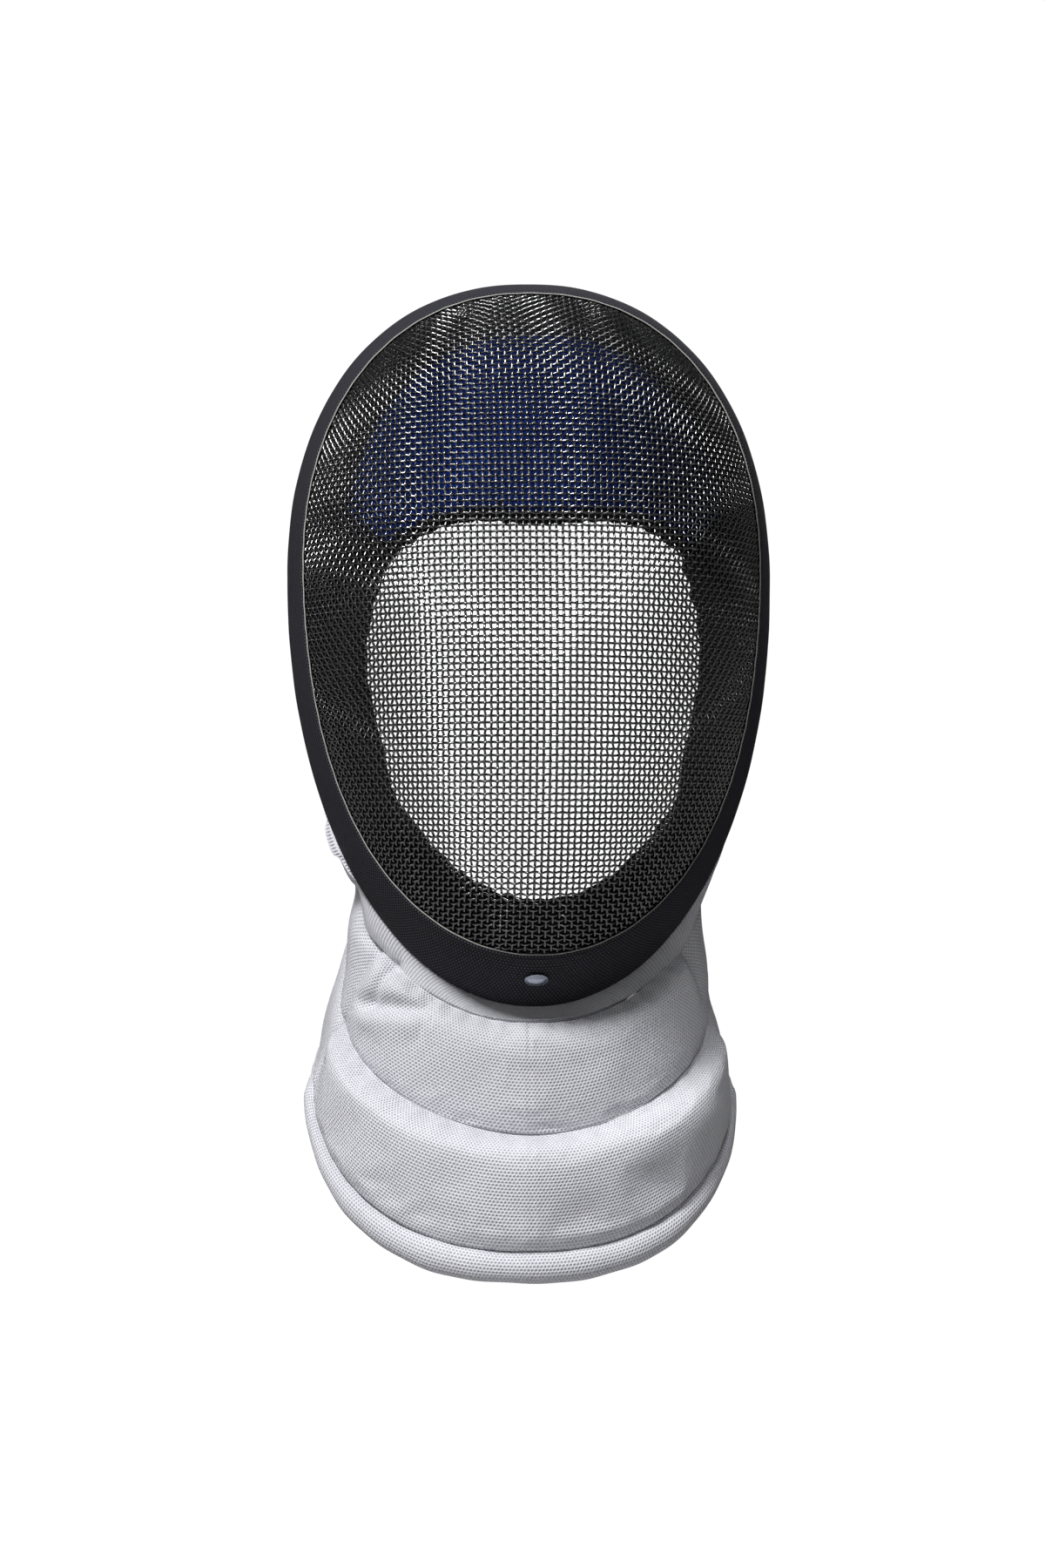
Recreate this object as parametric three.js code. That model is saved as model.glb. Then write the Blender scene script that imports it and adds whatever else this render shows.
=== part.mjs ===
// A fencing mask for the epee: a bowl of woven steel wire bound with tape, a padded liner inside it,
// a sprung tongue behind the head, and a quilted cloth bib under the chin.
// Millimetres. +Z is up, the face looks along -Y, and +X is to the right as the mask is seen from its front.
// The origin is the head seat: the underside of the crown pad, on the centre plane.
import * as THREE from "three";
import { mergeVertices } from "three/addons/utils/BufferGeometryUtils.js";

// ---------------------------------------------------------------- driving dimensions

// The wire bowl, measured on the middle of its wall.
const CAGE = {
  halfWidth: 116,
  top: 27,
  widest: -117,
  chin: -321,
  front: -120,
  poleZ: -168,
  wall: 2,
  columns: 56,
  rowsToPole: 7,
};
// The rim seen from the side: how far back it runs at the crown and the chin, and how it bows at the ears.
const RIM = { crownY: 18, chinY: -32, earBow: 14 };
// How square the rim's outline is above and below its widest level.
const OUTLINE_POWER = { above: 2.22, below: 2.05 };
// A section of the bowl from rim to front pole, towards each side of the rim. start is the share of a full
// quarter oval that the rim cuts off, so a large start is a rim whose wall still slopes.
const SECTION = {
  side: { start: 0.16, across: 2.0, deep: 1.7 },
  up: { start: 0.12, across: 2.15, deep: 2.15 },
  down: { start: 0.45, across: 2.0, deep: 2.0 },
};
const TAPE = { width: 29, chinExtra: 13, thickness: 1.2, clearance: 0.3 };
const EDGE_CORD = { radius: 0.6, sides: 5 };
const STUD = { flangeRadius: 5.8, domeRadius: 4.9, flangeHeight: 0.9, height: 2.6, place: 0.6 };
const TONGUE = { halfWidth: 30, thickness: 2.6, sag: 3.6 };

// The opening that the liner leaves, as a share of the way from the front pole to the rim.
const LINER_EDGE = { side: 0.82, up: 0.385, down: 0.7 };
const CROWN_EDGE = { side: 0.74, up: 0.87 };
const BINDING = { width: 10, thickness: 8, sideways: 8 };
const PAD_OFFSET = 3.2;

// The bib, a row for each seam line. halfWidth is its reach to each side and lean how far it is drawn to -X.
// frontY and centreZ are the line on the centre plane, sideY its place at the side, and rise how much higher
// the side lies than the front. A larger power keeps the line low for longer on its way round.
const BIB_FRONT = {
  neck: { halfWidth: 79, lean: 0.5, frontY: -37, centreZ: -333, sideY: 2, rise: 71, power: 1.0 },
  middle: { halfWidth: 88, lean: 2, frontY: -52, centreZ: -384, sideY: 6, rise: 56, power: 0.9 },
  low: { halfWidth: 101, lean: 4, frontY: -63, centreZ: -439, sideY: 10, rise: 76, power: 1.12 },
  hem: { halfWidth: 105, lean: 4.5, frontY: -66, centreZ: -455, sideY: 10, rise: 80, power: 1.18 },
};
// How each seam line goes on from the side of the neck to the rear edge: up, back and inwards.
const BIB_REAR = {
  neck: { rise: 57, back: 22, narrowing: 1.0 },
  middle: { rise: 44, back: 36, narrowing: 0.93 },
  low: { rise: 28, back: 44, narrowing: 0.92 },
  hem: { rise: 28, back: 46, narrowing: 0.87 },
};
// The front panels end at this angle round the neck, and the side panels run on to the rear edge.
const BIB_TURN = { neck: 62, middle: 86, low: 88, rear: 150, rimShare: 69 / 150 };
const SEAM = { gap: 0.5, cloth: 1.2 };
const HEM = { halfDepth: 6, leastHalfHeight: 4.6 };

const rad = THREE.MathUtils.degToRad;
const lerp = THREE.MathUtils.lerp;

// ---------------------------------------------------------------- solids from sections

// Joins closed sections, each a list of points, into one solid. Each section lists its outer side and then
// its inner side backwards, so ends that are not joined to each other are capped across from side to side.
function loft(sections, { loop = false } = {}) {
  const n = sections[0].length;
  const positions = sections.flat().flatMap((p) => [p.x, p.y, p.z]);
  const index = [];
  const quad = (a, b, c, d) => index.push(a, b, c, a, c, d);
  const spans = loop ? sections.length : sections.length - 1;
  for (let i = 0; i < spans; i++) {
    const here = i * n;
    const next = ((i + 1) % sections.length) * n;
    for (let k = 0; k < n; k++) quad(here + k, next + k, next + ((k + 1) % n), here + ((k + 1) % n));
  }
  if (!loop) {
    const last = (sections.length - 1) * n;
    for (let k = 0; k < n / 2 - 1; k++) {
      quad(k, k + 1, n - 2 - k, n - 1 - k);
      quad(last + k, last + n - 1 - k, last + n - 2 - k, last + k + 1);
    }
  }
  const geometry = new THREE.BufferGeometry();
  geometry.setAttribute("position", new THREE.Float32BufferAttribute(positions, 3));
  geometry.setIndex(index);
  return facingOut(withoutSlivers(mergeVertices(geometry, 1e-3)));
}

// Drops triangles that have shrunk to a line, as those at a pole have.
function withoutSlivers(geometry) {
  const kept = [];
  const all = geometry.index.array;
  for (let i = 0; i < all.length; i += 3) {
    const [a, b, c] = all.slice(i, i + 3);
    if (a !== b && b !== c && c !== a) kept.push(a, b, c);
  }
  geometry.setIndex(kept);
  return geometry;
}

// Turns every triangle round if together they enclose a negative volume.
function facingOut(geometry) {
  const p = geometry.attributes.position;
  const index = geometry.index.array;
  const corner = [0, 1, 2].map(() => new THREE.Vector3());
  let volume = 0;
  for (let i = 0; i < index.length; i += 3) {
    corner.forEach((v, k) => v.fromBufferAttribute(p, index[i + k]));
    volume += corner[0].dot(corner[1].clone().cross(corner[2]));
  }
  for (let i = 0; volume < 0 && i < index.length; i += 3) {
    [index[i + 1], index[i + 2]] = [index[i + 2], index[i + 1]];
  }
  geometry.computeVertexNormals();
  return geometry;
}

// A slab over a grid: outer and inner each give a point for two shares, u along the slab and v across it.
function slab(alongSteps, acrossSteps, outer, inner, options) {
  const sections = [];
  const count = options?.loop ? alongSteps : alongSteps + 1;
  for (let i = 0; i < count; i++) {
    const u = i / alongSteps;
    const shares = Array.from({ length: acrossSteps + 1 }, (_, j) => j / acrossSteps);
    sections.push([...shares.map((v) => outer(u, v)), ...shares.reverse().map((v) => inner(u, v))]);
  }
  return loft(sections, options);
}

// An oval section round a centre: half its size along each of two unit directions.
function ring(centre, first, firstHalf, second, secondHalf, sides) {
  return Array.from({ length: sides }, (_, k) => {
    const a = ((k + 0.5) / sides) * 2 * Math.PI;
    const point = centre.clone().addScaledVector(first, Math.cos(a) * firstHalf);
    return point.addScaledVector(second, Math.sin(a) * secondHalf);
  });
}

// ---------------------------------------------------------------- the bowl's surface

// The rim at angle t, counted from the wearer's-left side (+X) towards the crown.
function rimPoint(t) {
  const c = Math.cos(t);
  const s = Math.sin(t);
  const reach = s >= 0 ? CAGE.top - CAGE.widest : CAGE.widest - CAGE.chin;
  const power = s >= 0 ? OUTLINE_POWER.above : OUTLINE_POWER.below;
  const r = (Math.abs(c / CAGE.halfWidth) ** power + Math.abs(s / reach) ** power) ** (-1 / power);
  const z = CAGE.widest + r * s;
  const share = (z - CAGE.chin) / (CAGE.top - CAGE.chin);
  const y = lerp(RIM.chinY, RIM.crownY, share) + RIM.earBow * Math.sin(Math.PI * share);
  return new THREE.Vector3(r * c, y, z);
}

// How far the rim at angle t lies to the side of the front pole, above it and below it, in shares of 1.
function directionOf(t) {
  const rim = rimPoint(t);
  const dz = rim.z - CAGE.poleZ;
  const vertical = (dz * dz) / (rim.x * rim.x + dz * dz);
  return { rim, side: 1 - vertical, up: dz > 0 ? vertical : 0, down: dz > 0 ? 0 : vertical };
}

const mix = (d, table) => d.side * table.side + d.up * table.up + d.down * table.down;

function sectionOf(t) {
  const d = directionOf(t);
  const pick = (key) => mix(d, { side: SECTION.side[key], up: SECTION.up[key], down: SECTION.down[key] });
  return { rim: d.rim, start: pick("start"), across: pick("across"), deep: pick("deep") };
}

// The middle of the wall at angle t, and v from 0 at the rim to 1 at the front pole.
function cagePoint(t, v) {
  const { rim, start, across, deep } = sectionOf(t);
  const h = 1 - (1 - start) * (1 - v) ** 2;
  const out = ((1 - h ** deep) / (1 - start ** deep)) ** (1 / across);
  const back = (1 - h) / (1 - start);
  return new THREE.Vector3(out * rim.x, lerp(CAGE.front, rim.y, back), lerp(CAGE.poleZ, rim.z, out));
}

// The v at which the wall has come a share of the way from the front pole out to the rim.
function vAtShare(t, share) {
  const { start, across, deep } = sectionOf(t);
  const h = (1 - share ** across * (1 - start ** deep)) ** (1 / deep);
  return 1 - Math.sqrt((1 - h) / (1 - start));
}

// The v that lies a length inwards from the rim, measured along the wall.
function vAtLength(t, length) {
  const steps = 200;
  let gone = 0;
  let last = cagePoint(t, 0);
  for (let i = 1; i <= steps; i++) {
    const next = cagePoint(t, i / steps);
    const step = next.distanceTo(last);
    if (gone + step >= length) return (i - 1 + (length - gone) / step) / steps;
    gone += step;
    last = next;
  }
  return 1;
}

function cageNormal(t, v) {
  const e = 1e-3;
  const low = Math.max(v - e, 0);
  const high = Math.min(v + e, 0.999);
  const at = Math.min(v, 0.995);
  const along = cagePoint(t + e, at).sub(cagePoint(t - e, at));
  const inwards = cagePoint(t, high).sub(cagePoint(t, Math.min(low, 0.99)));
  return v > 0.998 ? new THREE.Vector3(0, -1, 0) : along.cross(inwards).normalize();
}

const towardsPole = (t, v) => cagePoint(t, v + 0.01).sub(cagePoint(t, v)).normalize();
const offCage = (t, v, offset) => cagePoint(t, v).addScaledVector(cageNormal(t, v), offset);

// ---------------------------------------------------------------- the wire bowl and what binds it

const tapeWidth = (t) => TAPE.width + TAPE.chinExtra * directionOf(t).down ** 3;
const angleOf = (column) => (column / CAGE.columns) * 2 * Math.PI;
const columns = Array.from({ length: CAGE.columns }, (_, i) => angleOf(i));

// The bowl has rows under the tape's edge and middle, so that tape and wall bend at the same places.
function cageRows(t) {
  const width = tapeWidth(t);
  const edge = vAtLength(t, width);
  const rest = Array.from({ length: CAGE.rowsToPole }, (_, i) => lerp(edge, 1, (i + 1) / CAGE.rowsToPole));
  return [0, vAtLength(t, width / 2), edge, ...rest];
}

function meshCage() {
  const sections = columns.map((t) => {
    const rows = cageRows(t);
    const outer = rows.map((v) => offCage(t, v, CAGE.wall / 2));
    return [...outer, ...rows.reverse().map((v) => offCage(t, v, -CAGE.wall / 2))];
  });
  return loft(sections, { loop: true });
}

// A tape folded over the rim, with one leaf outside the wall and one inside it.
function rimTape() {
  const under = CAGE.wall / 2 + TAPE.clearance;
  const over = under + TAPE.thickness;
  const sections = columns.map((t) => {
    const [, middle, edge] = cageRows(t);
    const forwards = towardsPole(t, 0);
    const behind = (offset, distance) => offCage(t, 0, offset).addScaledVector(forwards, -distance);
    const leaf = (offset) => [edge, middle].map((v) => offCage(t, v, offset));
    const fold = TAPE.clearance + TAPE.thickness;
    const outside = [
      ...leaf(over),
      offCage(t, 0, over),
      behind(over * 0.7, fold),
      behind(-over * 0.7, fold),
      offCage(t, 0, -over),
      ...leaf(-over).reverse(),
    ];
    const inside = [
      ...leaf(-under),
      offCage(t, 0, -under),
      behind(-under, TAPE.clearance),
      behind(under, TAPE.clearance),
      offCage(t, 0, under),
      ...leaf(under).reverse(),
    ];
    return [...outside, ...inside];
  });
  return loft(sections, { loop: true });
}

// The pale cord sewn along the tape's front edge, lying on the wire.
function tapeEdgeCord() {
  const lift = CAGE.wall / 2 + EDGE_CORD.radius + TAPE.clearance;
  const sections = columns.map((t) => {
    const v = vAtLength(t, tapeWidth(t) + EDGE_CORD.radius + 0.5);
    const centre = offCage(t, v, lift);
    const { radius, sides } = EDGE_CORD;
    return ring(centre, towardsPole(t, v), radius, cageNormal(t, v), radius, sides);
  });
  return loft(sections, { loop: true });
}

// The press stud on the tape under the chin: a flange with a low dome, turned about its own axis.
function chinStud() {
  const domeSteps = 4;
  const profile = [new THREE.Vector2(0, 0), new THREE.Vector2(STUD.flangeRadius, 0)];
  profile.push(new THREE.Vector2(STUD.flangeRadius, STUD.flangeHeight));
  for (let i = 0; i < domeSteps; i++) {
    const a = (i / domeSteps) * (Math.PI / 2);
    const rise = Math.sin(a) * (STUD.height - STUD.flangeHeight);
    profile.push(new THREE.Vector2(Math.cos(a) * STUD.domeRadius, STUD.flangeHeight + rise));
  }
  profile.push(new THREE.Vector2(0, STUD.height));
  const turned = new THREE.LatheGeometry(profile, 24);
  turned.deleteAttribute("normal");
  turned.deleteAttribute("uv");
  return facingOut(withoutSlivers(mergeVertices(turned, 1e-3)));
}

function placeStud(mesh) {
  const chin = rad(270);
  const v = vAtLength(chin, tapeWidth(chin) * STUD.place);
  const normal = cageNormal(chin, v);
  mesh.position.copy(offCage(chin, v, CAGE.wall / 2 + TAPE.thickness + 2 * TAPE.clearance));
  mesh.quaternion.setFromUnitVectors(new THREE.Vector3(0, 1, 0), normal);
}

// ---------------------------------------------------------------- the liner

const reachOf = (rim) => Math.hypot(rim.x, rim.z - CAGE.poleZ);
const linerShare = (t) => mix(directionOf(t), LINER_EDGE);
// The forehead pad ends, and the crown pad begins, at this share of the way out to the rim.
const crownShare = (t) => {
  const rim = rimPoint(t);
  return lerp(CROWN_EDGE.side, CROWN_EDGE.up, (rim.z - CAGE.poleZ) / reachOf(rim));
};
const bindingShare = (t) => linerShare(t) + BINDING.width / reachOf(rimPoint(t));

// A stuffed pad on the bowl's inner side, between two angles and two shares of the way out to the rim. It is
// full in its middle and thin along its edges.
function pad({ from, to, inner, outer, thickness, offset = PAD_OFFSET, steps = [16, 5] }) {
  const crown = (x) => 1 - (2 * x - 1) ** 4;
  const angle = (u) => rad(lerp(from, to, u));
  const vAt = (u, v) => vAtShare(angle(u), lerp(outer(angle(u)), inner(angle(u)), v));
  const depth = (u, v) => offset + thickness * (0.4 + 0.6 * crown(u) * crown(v));
  return slab(
    ...steps,
    (u, v) => offCage(angle(u), vAt(u, v), -offset),
    (u, v) => offCage(angle(u), vAt(u, v), -depth(u, v)),
  );
}

const nearRim = () => 0.985;
const padsGap = 0.012;

// The rolled edge binding that runs all round the liner's opening.
function linerBinding() {
  const steps = 44;
  const sides = 6;
  const sections = Array.from({ length: steps }, (_, i) => {
    const t = (i / steps) * 2 * Math.PI;
    const share = lerp(linerShare(t), bindingShare(t), 0.45);
    const v = vAtShare(t, share);
    const centre = offCage(t, v, -PAD_OFFSET - BINDING.thickness / 2);
    const { sideways, thickness } = BINDING;
    return ring(centre, towardsPole(t, v), sideways / 2, cageNormal(t, v), thickness / 2, sides);
  });
  return loft(sections, { loop: true });
}

// The sprung tongue: a strip that leaves the crown under the tape, goes back over the head and turns down.
function backTongue() {
  const path = new THREE.CatmullRomCurve3(
    [
      new THREE.Vector3(0, -2, 18.4),
      new THREE.Vector3(0, 18, 20.6),
      new THREE.Vector3(0, 48, 15),
      new THREE.Vector3(0, 78, -2),
      new THREE.Vector3(0, 98, -32),
      new THREE.Vector3(0, 102, -72),
    ],
    false,
    "centripetal",
  );
  const across = new THREE.Vector3(1, 0, 0);
  const place = (u, v, offset) => {
    const tangent = path.getTangent(u);
    const normal = tangent.clone().cross(across);
    const roundEnd = Math.sqrt(1 - 0.85 * Math.max(0, (u - 0.82) / 0.18) ** 2);
    const x = (2 * v - 1) * TONGUE.halfWidth * roundEnd;
    const sag = TONGUE.sag * (x / TONGUE.halfWidth) ** 2;
    return path.getPoint(u).addScaledVector(across, x).addScaledVector(normal, sag + offset);
  };
  return slab(
    16,
    4,
    (u, v) => place(u, v, -TONGUE.thickness / 2),
    (u, v) => place(u, v, TONGUE.thickness / 2),
  );
}

// ---------------------------------------------------------------- the bib

// A seam line of the bib at an angle round the neck, 0 in front and positive towards +X.
const bibRow = (name) => (angle) => {
  const front = BIB_FRONT[name];
  const rear = BIB_REAR[name];
  const turn = rad(Math.min(Math.abs(angle), 90));
  const past = Math.max(Math.abs(angle) - 90, 0) / (BIB_TURN.rear - 90);
  const width = front.halfWidth * lerp(1, rear.narrowing, past);
  const x = Math.sign(angle) * width * Math.sin(turn) - front.lean;
  const y = lerp(front.sideY, front.frontY, Math.cos(turn)) + rear.back * past;
  const z = front.centreZ + front.rise * (1 - Math.cos(turn)) ** front.power + rear.rise * past;
  return new THREE.Vector3(x, y, z);
};

// The bib's top line, which follows the back of the rim from one side under the chin to the other.
function bibTop(angle) {
  const t = rad(270 + angle * BIB_TURN.rimShare);
  const behind = TAPE.thickness + 2 * TAPE.clearance + 3 * SEAM.gap;
  return cagePoint(t, 0).addScaledVector(towardsPole(t, 0), -behind);
}

const lines = {
  top: bibTop,
  neck: bibRow("neck"),
  middle: bibRow("middle"),
  low: bibRow("low"),
  hem: bibRow("hem"),
};

// A quilted panel between two seam lines. from and to are its end angles, one on each line; fill is how far
// it swells out, droop the share of that which it loses on the way down, and lining how far its back lies in.
function bibPanel({ above, below, from, to, fill, droop = 0, lining, steps }) {
  const angle = (u, v) => lerp(lerp(from.above, from.below, v), lerp(to.above, to.below, v), u);
  const surface = (u, v) => above(angle(u, v)).lerp(below(angle(u, v)), v);
  const e = 0.01;
  const normal = (u, v) => {
    const along = surface(u + e, v).sub(surface(u - e, v));
    const down = surface(u, v + e).sub(surface(u, v - e));
    return down.cross(along).normalize();
  };
  const swell = (x) => Math.sqrt(Math.max(0, 1 - (2 * x - 1) ** 4));
  const height = surface(0.5, 0).distanceTo(surface(0.5, 1));
  const length = surface(0, 0.5).distanceTo(surface(1, 0.5));
  const shrink = (x, size) => lerp(SEAM.gap / size, 1 - SEAM.gap / size, x);
  const place = (u, v, offset) => {
    const [a, b] = [shrink(u, length), shrink(v, height)];
    return surface(a, b).addScaledVector(normal(a, b), offset);
  };
  const half = SEAM.cloth / 2;
  return slab(
    ...steps,
    (u, v) => place(u, v, half + fill * swell(u) * swell(v) * (1 - droop * v)),
    (u, v) => place(u, v, -half - lining * swell(u) * swell(v)),
  );
}

// The end angles of a panel that crosses the front, and of one that runs from a front panel to the rear edge.
const acrossFront = (above, below) => ({ from: { above: -above, below: -below }, to: { above, below } });
function alongSide(sign, above, below) {
  const fore = { above: sign * above, below: sign * below };
  const rear = { above: sign * BIB_TURN.rear, below: sign * BIB_TURN.rear };
  return sign > 0 ? { from: fore, to: rear } : { from: rear, to: fore };
}

// The rolled hem, a soft tube from one rear corner under the chin to the other, taller than it is deep.
function bibHem() {
  const steps = 44;
  const sides = 8;
  const sections = Array.from({ length: steps + 1 }, (_, i) => {
    const angle = lerp(-BIB_TURN.rear, BIB_TURN.rear, i / steps);
    const [high, low] = [lines.low(angle), lines.hem(angle)];
    const down = low.clone().sub(high);
    const half = Math.max(down.length() / 2 - SEAM.gap, HEM.leastHalfHeight);
    down.normalize();
    const along = lines.low(angle + 1).sub(lines.low(angle - 1));
    const out = down.clone().cross(along).normalize();
    const centre = high.clone().addScaledVector(down, half + 2 * SEAM.gap);
    return ring(centre, down, half, out, HEM.halfDepth, sides);
  });
  return loft(sections);
}

// ---------------------------------------------------------------- materials and assembly

function finish(color, roughness, metalness = 0) {
  return new THREE.MeshStandardMaterial({ color, roughness, metalness });
}
const blackWire = finish(0x101113, 0.35, 0.6);
const blackTape = finish(0x1d1d21, 0.85);
const paleThread = finish(0xb9bab5, 0.6);
const bareSteel = finish(0xc4c7cf, 0.25, 1);
const navyCloth = finish(0x1b2a5a, 0.8);
const blackCloth = finish(0x141417, 0.85);
const whiteCloth = finish(0xe4e4ea, 0.9);

const mask = new THREE.Group();
function add(name, geometry, material, place = () => {}) {
  const mesh = new THREE.Mesh(geometry, material);
  mesh.name = name;
  place(mesh);
  mask.add(mesh);
}

add("mesh_cage", meshCage(), blackWire);
add("rim_tape", rimTape(), blackTape);
add("tape_edge_cord", tapeEdgeCord(), paleThread);
add("chin_stud", chinStud(), bareSteel, placeStud);
add("back_tongue", backTongue(), blackCloth);

const forehead = { from: 25, to: 155 };
const crown = { ...forehead, inner: (t) => crownShare(t) + padsGap, outer: nearRim };
add("crown_pad", pad({ ...crown, thickness: 15.5, offset: 7.8 }), blackCloth);
const brow = { ...forehead, inner: bindingShare, outer: crownShare };
add("forehead_pad", pad({ ...brow, thickness: 17, steps: [16, 5] }), navyCloth);
const lower = { inner: bindingShare, outer: nearRim, steps: [12, 5] };
add("cheek_pad_right", pad({ ...lower, from: -52, to: 23, thickness: 20 }), blackCloth);
add("cheek_pad_left", pad({ ...lower, from: 157, to: 232, thickness: 20 }), blackCloth);
add("chin_pad", pad({ ...lower, from: 234, to: 306, thickness: 12 }), blackCloth);
add("liner_binding", linerBinding(), blackCloth);

// The collar is a plain strip. Each channel below it is a panel across the front and one at each side.
const collar = { above: lines.top, below: lines.neck, ...acrossFront(BIB_TURN.rear, BIB_TURN.rear) };
add("bib_collar", bibPanel({ ...collar, fill: 0.6, lining: 0.6, steps: [40, 2] }), whiteCloth);
const channels = [
  { front: "bib_upper_channel", side: "bib_upper_side", above: "neck", below: "middle" },
  { front: "bib_lower_channel", side: "bib_lower_side", above: "middle", below: "low" },
];
for (const { front, side, above, below } of channels) {
  const between = { above: lines[above], below: lines[below] };
  const ends = [BIB_TURN[above], BIB_TURN[below]];
  const middle = { ...between, ...acrossFront(...ends), fill: 13, droop: 0.6, lining: 3, steps: [22, 6] };
  add(front, bibPanel(middle), whiteCloth);
  for (const [hand, sign] of [["right", 1], ["left", -1]]) {
    const flank = { ...between, ...alongSide(sign, ...ends), fill: 3.5, lining: 2.5, steps: [8, 5] };
    add(side + "_" + hand, bibPanel(flank), whiteCloth);
  }
}
add("bib_hem", bibHem(), whiteCloth);

export default mask;
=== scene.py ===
"""A fencing mask: its wire bowl, the tape that binds it, the padded liner, the tongue and the quilted bib."""

from math import cos, pi, radians, sin

import bpy
import numpy as np
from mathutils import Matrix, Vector


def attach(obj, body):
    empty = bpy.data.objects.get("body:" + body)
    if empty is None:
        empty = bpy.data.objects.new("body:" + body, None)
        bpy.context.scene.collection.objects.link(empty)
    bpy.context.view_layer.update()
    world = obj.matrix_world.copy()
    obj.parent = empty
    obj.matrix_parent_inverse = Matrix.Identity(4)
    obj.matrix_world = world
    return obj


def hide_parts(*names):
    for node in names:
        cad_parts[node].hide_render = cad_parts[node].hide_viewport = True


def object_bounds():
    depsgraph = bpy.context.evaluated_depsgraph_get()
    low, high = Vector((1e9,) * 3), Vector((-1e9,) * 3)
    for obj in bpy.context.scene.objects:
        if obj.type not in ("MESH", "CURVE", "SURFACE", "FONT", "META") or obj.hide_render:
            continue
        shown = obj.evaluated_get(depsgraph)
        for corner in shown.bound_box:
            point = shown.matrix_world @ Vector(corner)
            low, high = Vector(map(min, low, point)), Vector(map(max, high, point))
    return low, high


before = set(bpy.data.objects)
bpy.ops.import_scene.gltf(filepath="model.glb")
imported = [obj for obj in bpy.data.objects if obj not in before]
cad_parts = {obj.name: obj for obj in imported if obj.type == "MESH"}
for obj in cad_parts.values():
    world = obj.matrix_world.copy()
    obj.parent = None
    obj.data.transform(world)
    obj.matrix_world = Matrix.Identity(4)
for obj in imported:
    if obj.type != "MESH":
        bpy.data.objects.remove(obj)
cad_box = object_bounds()

# ------------------------------------------------------------------------------------------- the studio
# The mask hangs from its head seat over a pale floor. A camera stands level with its cheeks, a little to one
# side, and soft boxes light it from the front, from above, from both sides and from behind.

CAMERA_DISTANCE = 2.553
CAMERA_TURN = radians(3.0)
CAMERA_LENS = 120.1
FLOOR_DROP = 0.6

lowest, highest = (Vector(corner) for corner in cad_box)
eye_level = highest.z - 0.2456
look = Vector((sin(CAMERA_TURN), cos(CAMERA_TURN), 0))
aside = Vector((cos(CAMERA_TURN), -sin(CAMERA_TURN), 0)) * -0.0038

camera = bpy.data.objects.new("camera", bpy.data.cameras.new("camera"))
camera.data.lens = CAMERA_LENS
camera.data.clip_end = 50
camera.location = Vector((0, 0, eye_level)) - look * CAMERA_DISTANCE + aside
camera.rotation_euler = (pi / 2, 0, -CAMERA_TURN)
bpy.context.collection.objects.link(camera)
bpy.context.scene.camera = camera
bpy.context.scene.view_settings.view_transform = "Standard"


def soft_box(name, place, width, height, watts):
    """A rectangular lamp that faces the middle of the mask."""
    lamp = bpy.data.lights.new(name, "AREA")
    lamp.shape = "RECTANGLE"
    lamp.size, lamp.size_y, lamp.energy = width, height, watts
    box = bpy.data.objects.new(name, lamp)
    box.location = place
    aim = Vector((0, -0.03, eye_level)) - Vector(place)
    box.rotation_euler = aim.to_track_quat("-Z", "Y").to_euler()
    bpy.context.collection.objects.link(box)


soft_box("key_box", (-0.78, -1.12, 1.32), 0.42, 0.42, 48)
soft_box("front_box", (-0.35, -2.5, 0.1), 0.18, 0.18, 4)
soft_box("top_box", (0.2, -0.7, 1.6), 0.4, 0.3, 11)
soft_box("back_box", (0.5, 2.3, 0.5), 0.8, 0.8, 9)
soft_box("left_box", (-1.6, -1.0, -0.1), 0.2, 0.7, 1.5)
soft_box("right_box", (1.6, -1.0, -0.1), 0.2, 0.7, 1)

world = bpy.data.worlds.new("studio")
bpy.context.scene.world = world
world.use_nodes = True
sky = world.node_tree.nodes["Background"]
sky.inputs["Color"].default_value = (1, 1, 1, 1)
seen = world.node_tree.nodes.new("ShaderNodeLightPath")
brightness = world.node_tree.nodes.new("ShaderNodeMapRange")
brightness.inputs["To Min"].default_value = 0.05
brightness.inputs["To Max"].default_value = 1.05
world.node_tree.links.new(seen.outputs["Is Camera Ray"], brightness.inputs["Value"])
world.node_tree.links.new(brightness.outputs["Result"], sky.inputs["Strength"])

floor_mesh = bpy.data.meshes.new("floor")
reach, level = 30.0, lowest.z - FLOOR_DROP
floor_mesh.from_pydata(
    [(-reach, -reach, level), (reach, -reach, level), (reach, reach, level), (-reach, reach, level)],
    [],
    [(0, 1, 2, 3)],
)
floor = bpy.data.objects.new("floor", floor_mesh)
bpy.context.collection.objects.link(floor)
paint = bpy.data.materials.new("pale_floor")
paint.use_nodes = True
floor_shader = paint.node_tree.nodes["Principled BSDF"]
floor_shader.inputs["Base Color"].default_value = (0.5, 0.5, 0.5, 1)
floor_shader.inputs["Roughness"].default_value = 0.9
floor_shader.inputs["Emission Color"].default_value = (1, 1, 1, 1)
floor_seen = paint.node_tree.nodes.new("ShaderNodeLightPath")
paint.node_tree.links.new(floor_seen.outputs["Is Camera Ray"], floor_shader.inputs["Emission Strength"])
floor_mesh.materials.append(paint)

# ------------------------------------------------------------------------------------------- the wire bowl
# Round steel wire woven both ways and drawn into one deep bowl, coated in glossy black. The weave can't
# stretch, so it shears: every mesh keeps its four equal sides and turns from a square to a lozenge on the
# way to the rim. Each wire is a thin tube that goes over one crossing wire and under the next.

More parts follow.
